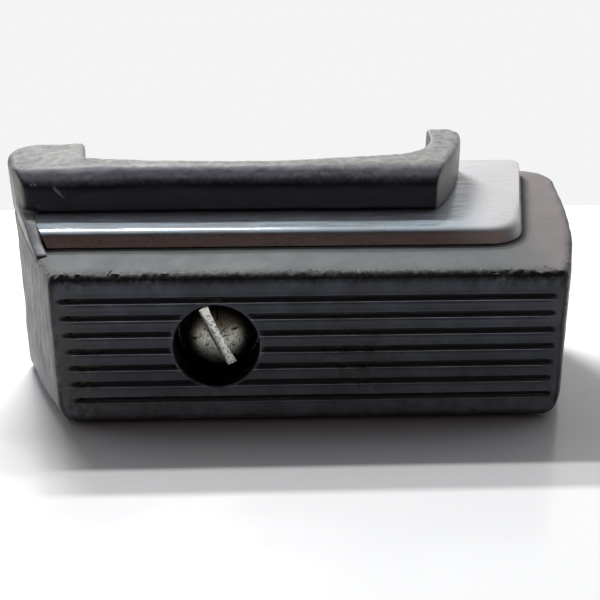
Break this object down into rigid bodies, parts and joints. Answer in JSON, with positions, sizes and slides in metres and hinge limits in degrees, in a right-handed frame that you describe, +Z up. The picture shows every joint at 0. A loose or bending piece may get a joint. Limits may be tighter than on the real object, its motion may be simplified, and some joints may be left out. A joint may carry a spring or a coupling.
{
  "type": "foot peg",
  "caption": "Folding foot peg: ribbed rubber block with bright trim and a rubber top pad, clamped to a cast carrier that hinges in a frame bracket.",
  "frame": {"origin": "middle of the bracket's two frame bolts, on the bracket's rear face", "axes": "+X along the ribs, +Y inboard out of the bracket's rear face, +Z up with the peg folded down"},
  "size_m": [0.1517, 0.1, 0.0643],
  "materials": {
    "rubber_block": "moulded, worn matt",
    "rubber_pad": "moulded, satin",
    "rubber_stop": "moulded",
    "bright_trim": "polished, scuffed",
    "cast_black": "black over a rough casting",
    "plated_steel": "zinc plated, tarnished",
    "tarnished_nickel": "tarnished nickel plate",
    "bare_steel": "bare",
    "bronze": "turned"
  },
  "bodies": {
    "bracket": {"hinge_bracket": "cast_black", "hinge_pin": "plated_steel", "pin_washer": "plated_steel", "split_pin": "plated_steel", "friction_washers": "bare_steel", "stop_pad": "rubber_stop", "stop_screw": "plated_steel"},
    "peg": {"tread_block": "rubber_block", "trim_plate": "bright_trim", "top_pad": "rubber_pad", "core_plate": "bare_steel", "pad_core": "bare_steel", "pad_studs": "plated_steel", "stud_washers": "plated_steel", "stud_nuts": "plated_steel", "crush_sleeve": "bare_steel", "clamp_bolt": "tarnished_nickel", "cup_washer": "bare_steel", "spring_washer": "plated_steel", "clamp_nut": "plated_steel", "carrier": "cast_black", "locating_dowels": "bare_steel", "hinge_bushes": "bronze"}
  },
  "joints": [
    {"name": "fold", "type": "hinge", "parent": "bracket", "child": "peg", "pos_m": [0, -0.03, 0.016], "axis": [-1, 0, 0], "range_deg": [0, 85]}
  ]
}
